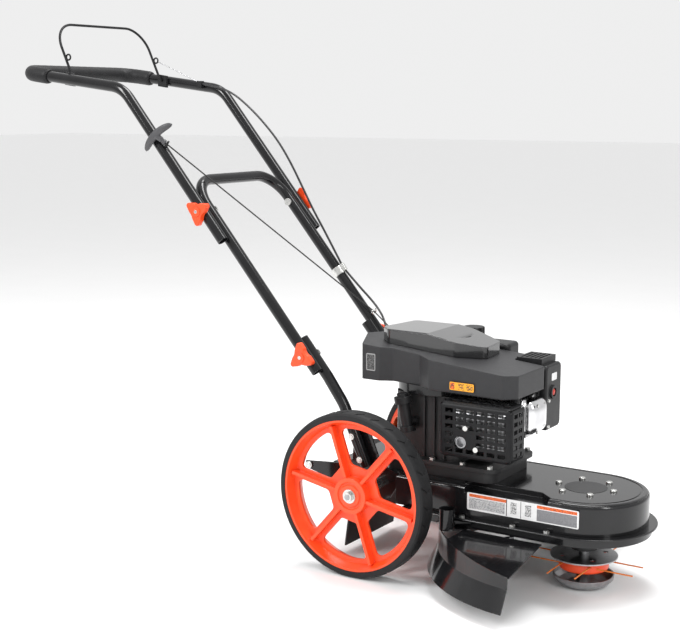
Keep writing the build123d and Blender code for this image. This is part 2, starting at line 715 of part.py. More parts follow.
def rope_outlet():
    """Ferrule in the lid's rear corner where the starter rope goes in."""
    x, y, z = ROPE_OUTLET
    direction = (Vector(*ROPE_GUIDE) - Vector(*ROPE_OUTLET)).normalized()
    inner = Vector(x, y, z) - direction * 24
    return rod(tuple(inner), (x, y, z), 7, ROPE_RADIUS)


def fuel_tank():
    """Moulded tank on the engine's left side, with a raised neck."""
    tank = slab_xy([(10, 99), (200, 99), (200, 160), (10, 160)], 404, 470, 14)
    tank = fillet(tank.edges().group_by(Axis.Z)[-1], 8)
    tank -= block(24, 186, 103, 156, 408, 466)
    return tank + disc(100, 126, 466, 482, 18)


def fuel_cap():
    """Ribbed screw cap."""
    cap = disc(100, 126, 482.3, 498, 25)
    cap = fillet(cap.edges().group_by(Axis.Z)[-1], 3)
    notches = [Pos(100, 126, 0) * Rot(0, 0, k * 30) * disc(26.5, 0, 480, 500, 3.5)
               for k in range(12)]
    return cap - notches


def air_filter_box():
    """Upright air filter housing at the front left of the engine."""
    box = block(250, 318, 40, 118, 302, 444)
    box = fillet(box.edges().filter_by(Axis.X), 12)
    box = fillet(box.edges().group_by(Axis.X)[-1], 5)
    box -= block(256, 312, 46, 112, 308, 438)
    return box - rod((300, 74, 383), (330, 74, 383), 11)


def louvre():
    """Slotted air intake on top of the filter housing."""
    grille = block(248, 306, 40, 112, 444, 458)
    return grille - [block(254 + k * 10, 259 + k * 10, 46, 106, 450, 459) for k in range(5)]


def primer_bulb():
    """Rubber bulb pushed to prime the carburettor."""
    bulb = rod((308, 74, 383), (322, 74, 383), 9)
    return fillet(bulb.edges().group_by(Axis.X)[-1], 7)


def primer_ring():
    """Collar around the primer bulb."""
    return rod((318, 74, 383), (322, 74, 383), 15, 9.6)


def carburettor():
    """Carburettor between the filter housing and the head."""
    body = block(212, 250, 60, 96, 320, 360)
    return body + rod((230, 52.2, 340), (230, 60, 340), 14) + rod((230, 78, 300), (230, 78, 320), 16)


OIL_FOOT = (64.0, -104.0, 300.0)
OIL_TOP = (54.0, -106.0, 360.0)


def oil_filler():
    """Oil filler tube on the crankcase with a toothed collar at its foot."""
    foot = Vector(*OIL_FOOT)
    axis = (Vector(*OIL_TOP) - foot).normalized()
    tube = rod(OIL_FOOT, OIL_TOP, 13, 9)
    collar = rod(OIL_FOOT, tuple(foot + axis * 12), 18, 9)
    arm = rod((74, -82.5, 320), (62, -102, 324), 8)
    arm -= rod(OIL_FOOT, OIL_TOP, 9)
    return tube + collar + arm


def dipstick():
    """Screw cap with its dipstick blade."""
    foot = Vector(*OIL_FOOT)
    top = Vector(*OIL_TOP)
    axis = (top - foot).normalized()
    cap = rod(tuple(top + axis * 0.3), tuple(top + axis * 15), 19)
    cap = cap + rod(tuple(top + axis * 15), tuple(top + axis * 22), 12)
    return cap + rod(tuple(foot + axis * 6), tuple(top + axis * 1), 3)


def cable_anchor():
    """Ferrule in the shroud's rear wall where the brake cable goes in."""
    x, y, z = CABLE_END
    return rod((x + 1.4, y - 1.2, z - 0.4), (x + 14, y - 12, z - 4), 5.5)


# ---- handles ------------------------------------------------------------------
def middle_handle():
    """Middle section: two legs joined by a hoop near its top."""
    low = along_legs(-44)
    top = along_legs(485.6)
    points = [(low[0], -MIDDLE_Y, low[1]), (top[0], -MIDDLE_Y, top[1]),
              (top[0], MIDDLE_Y, top[1]), (low[0], MIDDLE_Y, low[1])]
    frame = bent_bar(points, [70, 70], TUBE_RADIUS, TUBE_RADIUS - TUBE_WALL)
    bolt_hole = cross_disc(*LOWER_PIVOT, -200, 200, 4.05)
    return frame - bolt_hole - cross_disc(*UPPER_PIVOT, -200, 200, 4.0)


def upper_handle():
    """Upper section: two legs, two arms and the grip bar across the top."""
    low = along_legs(LEG_LENGTH - 84)
    points = [(low[0], -UPPER_Y, low[1]), (ARM_CORNER[0], -UPPER_Y, ARM_CORNER[1]),
              (GRIP[0], -UPPER_Y, GRIP[1]), (GRIP[0], UPPER_Y, GRIP[1]),
              (ARM_CORNER[0], UPPER_Y, ARM_CORNER[1]), (low[0], UPPER_Y, low[1])]
    frame = bent_bar(points, [80, 45, 45, 80], TUBE_RADIUS, TUBE_RADIUS - TUBE_WALL)
    return frame - cross_disc(*UPPER_PIVOT, -220, 220, 4.05)


def lower_handle(side):
    """Lower tube from the side plate up to the first folding joint."""
    top = along_legs(42)
    bend = along_legs(-60)
    points = [(top[0], LOWER_Y, top[1]), (bend[0], LOWER_Y, bend[1]),
              (-80, LOWER_Y, 346), (-22, LOWER_Y, 214)]
    tube = bent_bar(points, [120, 120], TUBE_RADIUS, TUBE_RADIUS - TUBE_WALL)
    tube -= cross_disc(*LOWER_PIVOT, 100, 160, 4.0)
    tube -= [cross_disc(x, z, 100, 160, 4.0) for x, z in LOWER_BOLTS]
    return tube if side > 0 else mirror(tube, about=Plane.XZ)


def lower_handle_bolts():
    """Two bolts that clamp each lower tube to its side plate."""
    bolts = []
    for x, z in LOWER_BOLTS:
        bolt = cross_disc(x, z, SIDE_PLATE_INNER, LOWER_Y + TUBE_RADIUS + 6, 4)
        bolt += cross_disc(x, z, LOWER_Y + TUBE_RADIUS, LOWER_Y + TUBE_RADIUS + 5, 7)
        bolts.append(both_sides(bolt))
    return Compound(bolts)


def hinge_bolts(pivot, inner_y):
    """Carriage bolts through two neighbouring tubes, one on each side."""
    outer = inner_y + HANDLE_STEP
    bolt = cross_disc(*pivot, inner_y - TUBE_RADIUS - 1, outer + TUBE_RADIUS + 16, 4)
    head = cross_disc(*pivot, inner_y - TUBE_RADIUS - 4, inner_y - TUBE_RADIUS, 9)
    return both_sides(bolt + head)


def knob(pivot, inner_y, side, turn):
    """Three-lobed clamping knob on a hinge bolt's outer end."""
    start = inner_y + HANDLE_STEP + TUBE_RADIUS + 0.6
    lobes = RegularPolygon(38, 3)
    body = extrude(fillet(lobes.vertices(), 6), 13)
    body = fillet(body.edges().group_by(Axis.Z)[-1], 3)
    bites = [Rot(0, 0, 120 * k + 60) * disc(34, 0, -1, 20, 18) for k in range(3)]
    body -= bites
    body += disc(0, 0, 0, 15, 11)
    body -= disc(0, 0, -1, 20, 4.05)
    place = Plane(origin=(pivot[0], side * start, pivot[1]), x_dir=(1, 0, 0), z_dir=(0, side, 0))
    return place * (Rot(0, 0, turn) * body)


def foam_grip():
    """Soft sleeve over the grip bar and both of its corners."""
    slope = (ARM_CORNER[1] - GRIP[1]) / (ARM_CORNER[0] - GRIP[0])
    end = (GRIP_END, GRIP[1] + slope * (GRIP_END - GRIP[0]))
    points = [(end[0], -UPPER_Y, end[1]), (GRIP[0], -UPPER_Y, GRIP[1]),
              (GRIP[0], UPPER_Y, GRIP[1]), (end[0], UPPER_Y, end[1])]
    return bent_bar(points, [45, 45], GRIP_RADIUS, TUBE_RADIUS)


def bail():
    """Wire bail with a small loop on each side; pulled to the grip to run the engine."""
    foot_y = BAIL_Y + 12.5
    points = [(BAIL_PIVOT[0], -foot_y, BAIL_PIVOT[1]), (BAIL_PIVOT[0], -BAIL_Y, BAIL_PIVOT[1]),
              (BAIL_TOP[0], -BAIL_Y, BAIL_TOP[1]), (BAIL_TOP[0], BAIL_Y, BAIL_TOP[1]),
              (BAIL_PIVOT[0], BAIL_Y, BAIL_PIVOT[1]), (BAIL_PIVOT[0], foot_y, BAIL_PIVOT[1])]
    wire = bent_bar(points, [6, 62, 62, 6], WIRE_RADIUS)
    for side in (-1, 1):
        eye_x, eye_z = bail_eye()
        wire += Pos(eye_x, side * BAIL_Y, eye_z) * Rot(90, 0, 0) * Torus(6.5, 2)
    return wire


def bail_eye():
    """X and Z of the cable eye, just in front of the bail's side."""
    share = 0.36
    return (BAIL_PIVOT[0] + (BAIL_TOP[0] - BAIL_PIVOT[0]) * share + 8.2,
            BAIL_PIVOT[1] + (BAIL_TOP[1] - BAIL_PIVOT[1]) * share + 3.8)


def bail_brackets():
    """Lugs on the inner side of the arms that the bail's feet turn in."""
    outline = [(-844, 1036), (-816, 1032), (-816, 1062), (-844, 1066)]
    lug = plate_xz(outline, BAIL_Y + 6.5, UPPER_Y - 12.2)
    lug -= cross_disc(*BAIL_PIVOT, 150, 180, WIRE_RADIUS + 0.08)
    return both_sides(lug)


def cable_bracket():
    """Clip on the left arm where the brake cable's sleeve starts."""
    eye_x, eye_z = bail_eye()
    clip = block(-712, -698, 160, 172, 1030, 1048)
    return clip - rod(SLEEVE_TOP, (eye_x, BAIL_Y, eye_z), 1.3)


def rope_eyelet(centre, direction, stud_end):
    """A wire ring on a stud that a rope runs through."""
    ring = Plane(origin=centre, z_dir=direction) * Torus(6.6, 2.2)
    stud_start = Vector(*centre) + (Vector(*stud_end) - Vector(*centre)).normalized() * 6.6
    return ring + rod(tuple(stud_start), stud_end, 3)


ROPE_RUN = (Vector(*ROPE_HOOK) - Vector(*ROPE_GUIDE)).normalized()


def rope_hook():
    """Eyelet on the right upper leg that the pull handle rests against."""
    leg = along_legs(LEG_LENGTH + 174)
    return rope_eyelet(ROPE_HOOK, tuple(ROPE_RUN), (leg[0] + 9, -UPPER_Y, leg[1] + 8))


def rope_guide():
    """Eyelet on the left middle leg where the rope turns down to the engine."""
    leg = along_legs(57)
    down = (Vector(*ROPE_GUIDE) - Vector(*ROPE_OUTLET)).normalized()
    return rope_eyelet(ROPE_GUIDE, ROPE_RUN + down, (leg[0] + 9, MIDDLE_Y, leg[1] + 8))


def pull_handle():
    """T-shaped starter grip with rounded ends."""
    rest = Vector(*ROPE_HOOK) + ROPE_RUN * 4
    centre = rest + ROPE_RUN * 29
    across = Vector(0.784, 0, 0.621)
    tee = rod(tuple(centre - across * 50), tuple(centre + across * 50), 9)
    tee = fillet(tee.edges().filter_by(GeomType.CIRCLE), 6)
    stem = rod(tuple(rest), tuple(centre), 6.5)
    return tee + stem


def cable_clamp():
    """Band clamp that holds the brake cable to the left middle leg."""
    a = along_legs(177)
    b = along_legs(197)
    band = rod((a[0], MIDDLE_Y, a[1]), (b[0], MIDDLE_Y, b[1]), 16, TUBE_RADIUS)
    c = along_legs(178, 18)
    d = along_legs(197, 18)
    return band + rod((c[0], MIDDLE_Y, c[1]), (d[0], MIDDLE_Y, d[1]), 6, CABLE_RADIUS) - rod(
        (a[0], MIDDLE_Y, a[1]), (b[0], MIDDLE_Y, b[1]), TUBE_RADIUS)


# ---- cords --------------------------------------------------------------------
SLEEVE_TOP = (-697.0, 166.0, 1040.0)
CLAMP_TOP = (*along_legs(198.6, 18), MIDDLE_Y)
CLAMP_LOW = (*along_legs(177.4, 18), MIDDLE_Y)
CABLE_END = (-96.0, 80.0, 440.0)


def brake_cable_upper():
    """Sleeved cable bowing from the arm's clip to the clamp on the middle leg."""
    points = [SLEEVE_TOP, (-648, 166, 1033), (-601, 166, 1017), (-555, 166, 986),
              (-509, 166, 947), (-464, 166, 901), (-427, 166, 849), (-394, 166, 793),
              (-361, 165, 737), (-324, 163, 684), (CLAMP_TOP[0], CLAMP_TOP[2], CLAMP_TOP[1])]
    return cord_tube("brake_cable_upper", points, CABLE_RADIUS)


def brake_cable_lower():
    """Sleeved cable from the clamp down to the engine's bracket."""
    points = [(CLAMP_LOW[0], CLAMP_LOW[2], CLAMP_LOW[1]), (-226, 161, 560), (-190, 162, 529),
              (-156, 152, 500), (-130, 128, 474), (-111, 101, 453), CABLE_END]
    return cord_tube("brake_cable_lower", points, CABLE_RADIUS)


def brake_wire():
    """Bare inner wire from the bail's loop to the sleeve."""
    eye_x, eye_z = bail_eye()
    eye = Vector(eye_x, BAIL_Y, eye_z)
    reach = (Vector(*SLEEVE_TOP) - eye).normalized()
    return cord_tube("brake_wire", [eye + reach * 9, Vector(*SLEEVE_TOP) - reach * 0.6], 1.1)


def starter_rope_upper():
    """Taut rope between the two eyelets."""
    return cord_tube("starter_rope_upper", [ROPE_HOOK, ROPE_GUIDE], ROPE_RADIUS)


def starter_rope_lower():
    """Taut rope from the lower eyelet into the engine."""
    down = (Vector(*ROPE_OUTLET) - Vector(*ROPE_GUIDE)).normalized()
    start = Vector(*ROPE_GUIDE) + down * 1.8
    return cord_tube("starter_rope_lower", [start, ROPE_OUTLET], ROPE_RADIUS)


# ---- the whole machine --------------------------------------------------------
def build_all():
    """Every piece by name, about the wheel axle."""
    pieces = {
        "axle": axle(),
        "hub_nuts": Compound([hub_nuts(), axle_spacers()]),
        "deck_pan": deck_pan(),
        "engine_tray": engine_tray(),
        "deck_base": deck_base(),
        "chassis_fasteners": Compound([cover_screws(), flange_bolts(), side_plate_bolts(),
                                       lower_handle_bolts(), hinge_bolts(LOWER_PIVOT, LOWER_Y)]),
        "side_plates": Compound([side_plate(1), side_plate(-1)]),
        "far_panel": far_panel(),
        "rear_flap": rear_flap(),
        "guard_skirt": Compound([guard_skirt(), guard_posts(), guard_struts()]),
        "crankshaft": crankshaft(),
        "crank_pulley": crank_pulley(),
        "flywheel": flywheel(),
        "spindle": spindle(),
        "head_pulley": head_pulley(),
        "drive_belt": drive_belt(),
        "spindle_housing": Compound([spindle_housing(), spindle_bearings()]),
        "head_plate": head_plate(),
        "string_head": string_head(),
        "cutting_lines": cutting_lines(),
        "support_bowl": support_bowl(),
        "crankcase": Compound([sump(), crankcase()]),
        "cylinder": cylinder(),
        "engine_fasteners": Compound([engine_bolts(), muffler_bolts(), valve_cover_bolts()]),
        "valve_cover": valve_cover(),
        "spark_plug": spark_plug(),
        "muffler": Compound([muffler(), exhaust_pipe()]),
        "muffler_guard": muffler_guard(),
        "blower_housing": blower_housing(),
        "shroud": Compound([shroud(), cable_anchor()]),
        "starter_lid": Compound([starter_lid(), recoil_post(), rope_outlet()]),
        "recoil_pulley": recoil_pulley(),
        "fuel_tank": fuel_tank(),
        "fuel_cap": fuel_cap(),
        "air_filter_box": Compound([air_filter_box(), louvre(), primer_ring()]),
        "primer_bulb": primer_bulb(),
        "carburettor": carburettor(),
        "oil_filler": oil_filler(),
        "dipstick": dipstick(),
        "lower_handles": Compound([lower_handle(1), lower_handle(-1)]),
        "middle_handle": middle_handle(),
        "middle_fittings": Compound([hinge_bolts(UPPER_PIVOT, MIDDLE_Y), rope_guide(), cable_clamp()]),
        "upper_handle": upper_handle(),
        "upper_fittings": Compound([bail_brackets(), cable_bracket(), rope_hook()]),
        "foam_grip": foam_grip(),
        "bail": bail(),
        "pull_handle": pull_handle(),
        "brake_cable_upper": brake_cable_upper(),
        "brake_cable_lower": brake_cable_lower(),
        "brake_wire": brake_wire(),
        "starter_rope_upper": starter_rope_upper(),
        "starter_rope_lower": starter_rope_lower(),
    }
    for name, side in (("left", 1), ("right", -1)):
        pieces[f"{name}_tyre"] = tyre(side)
        pieces[f"{name}_rim"] = rim(side)
        pieces[f"{name}_lower_knob"] = knob(LOWER_PIVOT, LOWER_Y, side, 100)
        pieces[f"{name}_upper_knob"] = knob(UPPER_PIVOT, MIDDLE_Y, side, 30)
    return pieces


def main():
    """Centre the machine over its origin and write one STEP file for each piece."""
    os.makedirs("parts", exist_ok=True)
    rear = GRIP[0] - GRIP_RADIUS
    front = SPINDLE_X + FLANGE_RADIUS
    middle = (rear + front) / 2
    print(f"axle at X {-middle:.3f}")
    for name, shape in build_all().items():
        solids = shape.solids()
        moved = Pos(-middle, 0, 0) * (solids[0] if len(solids) == 1 else Compound(solids))
        export_step(moved, f"parts/{name}.step")


main()
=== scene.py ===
"""Brush mower: materials, cords, foam grip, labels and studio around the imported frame."""
import json
from math import cos, pi, radians, sin, sqrt

import bmesh
import bpy
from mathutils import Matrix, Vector


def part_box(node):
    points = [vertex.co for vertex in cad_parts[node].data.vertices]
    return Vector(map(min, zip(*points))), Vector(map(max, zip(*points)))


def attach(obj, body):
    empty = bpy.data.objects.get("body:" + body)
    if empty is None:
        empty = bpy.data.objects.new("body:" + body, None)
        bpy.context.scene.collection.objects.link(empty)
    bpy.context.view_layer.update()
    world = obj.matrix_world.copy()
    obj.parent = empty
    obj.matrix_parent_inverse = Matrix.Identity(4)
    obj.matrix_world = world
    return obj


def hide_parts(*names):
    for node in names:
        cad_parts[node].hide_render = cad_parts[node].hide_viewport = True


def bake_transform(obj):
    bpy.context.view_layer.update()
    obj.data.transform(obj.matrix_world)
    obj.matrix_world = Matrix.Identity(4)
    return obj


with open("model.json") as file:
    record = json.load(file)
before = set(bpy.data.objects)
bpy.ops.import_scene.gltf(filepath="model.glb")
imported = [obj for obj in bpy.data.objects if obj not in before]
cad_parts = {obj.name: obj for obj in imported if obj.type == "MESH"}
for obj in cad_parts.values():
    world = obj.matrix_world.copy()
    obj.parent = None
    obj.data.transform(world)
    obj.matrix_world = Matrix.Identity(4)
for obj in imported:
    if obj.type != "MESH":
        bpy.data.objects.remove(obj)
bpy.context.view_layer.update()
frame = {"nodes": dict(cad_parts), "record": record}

MM = 0.001


def middle(node):
    """The centre of a CAD node's box."""
    low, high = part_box(node)
    return [(a + b) / 2 for a, b in zip(low, high)]


AXLE_X = middle("axle")[0]


def at(x, y, z):
    """A point given in millimetres from the ground under the axle's middle."""
    return Vector((AXLE_X + x * MM, y * MM, z * MM))


# ---- mesh helpers -------------------------------------------------------------
def ring_angles(count):
    """Evenly spaced angles round a circle."""
    return [2 * pi * step / count for step in range(count)]


def bridge(form, rings, capped=True):
    """Join rings of points with quads, and close both ends."""
    for one, two in zip(rings, rings[1:]):
        for step in range(len(one)):
            other = (step + 1) % len(one)
            form.faces.new((one[step], one[other], two[other], two[step]))
    if capped:
        form.faces.new(rings[0][::-1])
        form.faces.new(rings[-1])


def make_piece(name, form, finish, smooth_sides=False, outward=True):
    """Turn the built mesh into an object with its material."""
    if outward:
        bmesh.ops.recalc_face_normals(form, faces=form.faces)
    mesh = bpy.data.meshes.new(name)
    form.to_mesh(mesh)
    form.free()
    if smooth_sides:
        for face in mesh.polygons:
            face.use_smooth = len(face.vertices) == 4
    piece = bpy.data.objects.new(name, mesh)
    bpy.context.collection.objects.link(piece)
    mesh.materials.append(finish)
    return piece


# ---- materials ----------------------------------------------------------------
def material(name, colour, dark=0.75, roughness=(0.3, 0.45), metallic=0.0, scale=60.0,
             bump=0.1, coat=0.0, fine=900.0, edge=0.0008, sheen=0.0, specular=0.5):
    """Mottled colour and roughness, a fine bump and softly rounded edges."""
    mat = bpy.data.materials.new(name)
    mat.use_nodes = True
    tree = mat.node_tree
    shader = tree.nodes["Principled BSDF"]
    shader.inputs["Metallic"].default_value = metallic
    shader.inputs["Specular IOR Level"].default_value = specular
    shader.inputs["Coat Weight"].default_value = coat
    shader.inputs["Coat Roughness"].default_value = 0.06
    shader.inputs["Sheen Weight"].default_value = sheen
    coords = tree.nodes.new("ShaderNodeTexCoord")
    broad = tree.nodes.new("ShaderNodeTexNoise")
    broad.inputs["Scale"].default_value = scale
    broad.inputs["Detail"].default_value = 6
    grain = tree.nodes.new("ShaderNodeTexNoise")
    grain.inputs["Scale"].default_value = fine
    grain.inputs["Detail"].default_value = 3
    tree.links.new(coords.outputs["Object"], broad.inputs["Vector"])
    tree.links.new(coords.outputs["Object"], grain.inputs["Vector"])
    ramp = tree.nodes.new("ShaderNodeValToRGB")
    ramp.color_ramp.elements[0].position = 0.3
    ramp.color_ramp.elements[1].position = 0.7
    ramp.color_ramp.elements[0].color = [c * dark for c in colour] + [1]
    ramp.color_ramp.elements[1].color = list(colour) + [1]
    tree.links.new(broad.outputs["Fac"], ramp.inputs["Fac"])
    tree.links.new(ramp.outputs["Color"], shader.inputs["Base Color"])
    spread = tree.nodes.new("ShaderNodeMapRange")
    spread.inputs["To Min"].default_value = roughness[0]
    spread.inputs["To Max"].default_value = roughness[1]
    tree.links.new(broad.outputs["Fac"], spread.inputs["Value"])
    tree.links.new(spread.outputs["Result"], shader.inputs["Roughness"])
    rounded = tree.nodes.new("ShaderNodeBevel")
    rounded.samples = 4
    rounded.inputs["Radius"].default_value = edge
    relief = tree.nodes.new("ShaderNodeBump")
    relief.inputs["Strength"].default_value = bump
    relief.inputs["Distance"].default_value = 0.0004
    tree.links.new(grain.outputs["Fac"], relief.inputs["Height"])
    tree.links.new(rounded.outputs["Normal"], relief.inputs["Normal"])
    tree.links.new(relief.outputs["Normal"], shader.inputs["Normal"])
    return mat


ORANGE = (0.93, 0.075, 0.012)
BLACK = (0.009, 0.009, 0.010)
MATS = {
    "orange_plastic": material("orange_plastic", ORANGE, 0.86, (0.28, 0.4), bump=0.06, edge=0.0012),
    # orange-painted steel: its paler, salmon orange is partly the steel's own paint and partly a
    # painted highlight of the strong light on the plate
    "orange_paint": material("orange_paint", (0.9, 0.16, 0.05), 0.85, (0.35, 0.5), bump=0.08),
    "tyre": material("tyre", (0.014, 0.014, 0.015), 0.6, (0.5, 0.7), bump=0.35, fine=500, edge=0.0012,
                     specular=0.3),
    "black_paint": material("black_paint", BLACK, 0.6, (0.12, 0.22), bump=0.03, coat=0.25, scale=25,
                            edge=0.002, specular=0.3),
    "frame_black": material("frame_black", BLACK, 0.6, (0.12, 0.2), bump=0.02, coat=0.1, scale=25,
                            specular=0.3),
    "zinc": material("zinc", (0.66, 0.66, 0.64), 0.8, (0.2, 0.35), metallic=1, bump=0.1, scale=150),
    "bare_steel": material("bare_steel", (0.42, 0.42, 0.43), 0.75, (0.25, 0.42), metallic=1, scale=120),
    "cast_aluminium": material("cast_aluminium", (0.022, 0.022, 0.023), 0.65, (0.4, 0.6),
                               metallic=0.2, bump=0.5, fine=600, edge=0.0015),
    "chrome": material("chrome", (0.72, 0.72, 0.73), 0.85, (0.1, 0.22), metallic=1, bump=0.06,
                       scale=40, edge=0.003),
    "shroud_plastic": material("shroud_plastic", (0.026, 0.026, 0.028), 0.85, (0.4, 0.52), bump=0.3,
                               fine=1400, edge=0.004, specular=0.35),
    "gloss_black_plastic": material("gloss_black_plastic", (0.014, 0.014, 0.015), 0.8, (0.12, 0.2),
                                    coat=0.7, bump=0.04, edge=0.005),
    "black_plastic": material("black_plastic", (0.012, 0.012, 0.013), 0.7, (0.35, 0.5), bump=0.2,
                              edge=0.002, specular=0.3),
    "red_rubber": material("red_rubber", (0.6, 0.03, 0.015), 0.8, (0.3, 0.4), bump=0.05),
    "rubber": material("rubber", (0.015, 0.015, 0.016), 0.7, (0.5, 0.7), bump=0.3),
    "foam": material("foam", (0.012, 0.012, 0.013), 0.7, (0.42, 0.6), bump=0.6, fine=700,
                     sheen=0.03, edge=0.002, specular=0.25),
    "cable_black": material("cable_black", (0.011, 0.011, 0.012), 0.8, (0.3, 0.4), bump=0.05),
    "rope": material("rope", (0.03, 0.03, 0.03), 0.5, (0.6, 0.8), bump=0.9, fine=1500),
    "nylon": material("nylon", (0.85, 0.22, 0.03), 0.8, (0.25, 0.35), bump=0.03),
    "grey_plastic": material("grey_plastic", (0.07, 0.07, 0.075), 0.75, (0.4, 0.55), bump=0.25,
                             edge=0.003),
}
GUARD_PAINT = material("guard_paint", BLACK, 0.6, (0.1, 0.18), bump=0.02, coat=0.3, scale=25,
                       edge=0.0001, specular=0.3)
HEAT_PAINT = material("heat_paint", (0.011, 0.011, 0.012), 0.6, (0.35, 0.5), bump=0.3, fine=700,
                      edge=0.0015, specular=0.2)
FINISHES = {"guard_skirt": GUARD_PAINT, "muffler_guard": HEAT_PAINT, "bail": HEAT_PAINT}
for entry in frame["record"]["subparts"]:
    node = frame["nodes"][entry["node"]]
    node.data.materials.clear()
    node.data.materials.append(FINISHES.get(entry["node"], MATS[entry["material_slot"]]))


# ---- camera -------------------------------------------------------------------
def add_camera():
    """Eye level with the engine's top, seen from the front right."""
    data = bpy.data.cameras.new("camera")
    data.sensor_width = 36.0
    data.lens = 70.2
    data.clip_end = 50
    camera = bpy.data.objects.new("camera", data)
    camera.location = at(1443.6, -2504.5, 993.4)
    camera.rotation_euler = (radians(90 - 9.3), 0, radians(32.9))
    bpy.context.collection.objects.link(camera)
    bpy.context.scene.camera = camera


add_camera()


# ---- cords --------------------------------------------------------------------
def add_curve(name, points, radius):
    """A smooth round cord on a NURBS line through the given control points."""
    data = bpy.data.curves.new(name, "CURVE")
    data.dimensions = "3D"
    data.bevel_depth = radius * MM
    data.bevel_resolution = 4
    data.use_fill_caps = True
    line = data.splines.new("NURBS")
    line.points.add(len(points) - 1)
    for target, point in zip(line.points, points):
        target.co = (*at(*point), 1)
    line.order_u = 3
    line.use_endpoint_u = True
    line.resolution_u = 12
    piece = bpy.data.objects.new(name, data)
    bpy.context.collection.objects.link(piece)
    return piece


LOWER_PIVOT = Vector((-161.0, 0, 449.0))
UPPER_PIVOT = Vector((-421.0, 0, 755.0))
LEG = (UPPER_PIVOT - LOWER_PIVOT).normalized()


def on_leg(distance, forward, y):
    """A point beside the sloping handle legs, measured from the lower knobs."""
    ahead = Vector((LEG.z, 0, -LEG.x))
    spot = LOWER_PIVOT + LEG * distance + ahead * forward
    return (spot.x, y, spot.z)


ROPE_HOOK = (-518.0, -190.0, 902.0)
ROPE_GUIDE = (-181.0, 156.0, 504.0)
ROPE_OUTLET = (-66.0, 50.0, 484.0)
ROPE_RUN = (Vector(ROPE_HOOK) - Vector(ROPE_GUIDE)).normalized()
SLEEVE_TOP = (-697.0, 166.0, 1040.0)
CABLE_END = (-96.0, 80.0, 440.0)
CABLE_Y = 158.6
UPPER_CABLE = [SLEEVE_TOP, (-648, 166, 1033), (-601, 166, 1017), (-555, 166, 986),
               (-509, 166, 947), (-464, 166, 901), (-427, 166, 849), (-394, 166, 793),
               (-361, 165, 737), (-324, 163, 684), on_leg(198.6, 18, CABLE_Y)]
LOWER_CABLE = [on_leg(177.4, 18, CABLE_Y), (-226, 161, 560), (-190, 162, 529), (-156, 152, 500),
               (-130, 128, 474), (-111, 101, 453), CABLE_END]


CABLE_RADIUS = 2.6
WIRE_RADIUS = 1.1
ROPE_RADIUS = 1.6


def mesh_of(piece):
    """A curve object's evaluated mesh."""
    return bpy.data.meshes.new_from_object(piece.evaluated_get(bpy.context.evaluated_depsgraph_get()))


def add_cord(name, points, radius, slot):
    """A round cord from the first point to the last, meshed from a NURBS line, in place of the CAD part
    of that name.
    """
    curve = add_curve(name + "_line", points, radius)
    mesh = mesh_of(curve)
    curve.data.bevel_depth = 0
    path = [tuple(vertex.co) for vertex in mesh_of(curve).vertices]
    bpy.data.objects.remove(curve)
    piece = bpy.data.objects.new(name + "_cord", mesh)
    bpy.context.collection.objects.link(piece)
    for face in mesh.polygons:
        face.use_smooth = True
    mesh.materials.clear()
    mesh.materials.append(MATS[slot])
    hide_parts(name)
    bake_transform(piece)


add_cord("brake_cable_upper", UPPER_CABLE, CABLE_RADIUS, "cable_black")
add_cord("brake_cable_lower", LOWER_CABLE, CABLE_RADIUS, "cable_black")
BAIL_EYE = Vector((-843.4, 158.0, 1100.6))
REACH = (Vector(SLEEVE_TOP) - BAIL_EYE).normalized()
WIRE = [tuple(BAIL_EYE + REACH * 9), tuple(Vector(SLEEVE_TOP) - REACH * 0.6)]
add_cord("brake_wire", WIRE, WIRE_RADIUS, "bare_steel")
add_cord("starter_rope_upper", [ROPE_HOOK, ROPE_GUIDE], ROPE_RADIUS, "rope")
ROPE_DOWN = (Vector(ROPE_OUTLET) - Vector(ROPE_GUIDE)).normalized()
LOWER_START = tuple(Vector(ROPE_GUIDE) + ROPE_DOWN * 1.8)
add_cord("starter_rope_lower", [LOWER_START, ROPE_OUTLET], ROPE_RADIUS, "rope")


# ---- foam grip ----------------------------------------------------------------
GRIP_RADIUS = 0.0185
GRIP_CORNER = 0.045
GRIP_SLOPE = -39.0 / 313.0      # fall of the arms towards the front
GRIP_SIDES = 24
GRIP_RIPPLE = 0.012


def grip_line(low, high):
    """The sleeve's middle line: along one arm, across the back and along the other."""
    half = high[1] - GRIP_RADIUS
    rear = low[0] + GRIP_RADIUS
    front = high[0]
    rear_z = high[2] - GRIP_RADIUS
    turns, runs, spans = 10, 8, 24
    arm = front - rear - GRIP_CORNER

    def spot(x, y):
        return Vector((x, y, rear_z + (x - rear) * GRIP_SLOPE))

    def corner(index, hand):
        angle = pi / 2 * index / turns
        near, far = (sin(angle), cos(angle)) if hand < 0 else (cos(angle), sin(angle))
        x = rear + GRIP_CORNER - GRIP_CORNER * near
        return spot(x, hand * (half - GRIP_CORNER) + hand * GRIP_CORNER * far)

    line = [spot(front - index * arm / runs, -half) for index in range(runs + 1)]
    line += [corner(index, -1) for index in range(1, turns + 1)]
    across = 2 * (half - GRIP_CORNER)
    line += [spot(rear, -half + GRIP_CORNER + across * index / spans) for index in range(1, spans + 1)]
    line += [corner(index, 1) for index in range(1, turns + 1)]
    line += [spot(rear + GRIP_CORNER + index * arm / runs, half) for index in range(1, runs + 1)]
    return line


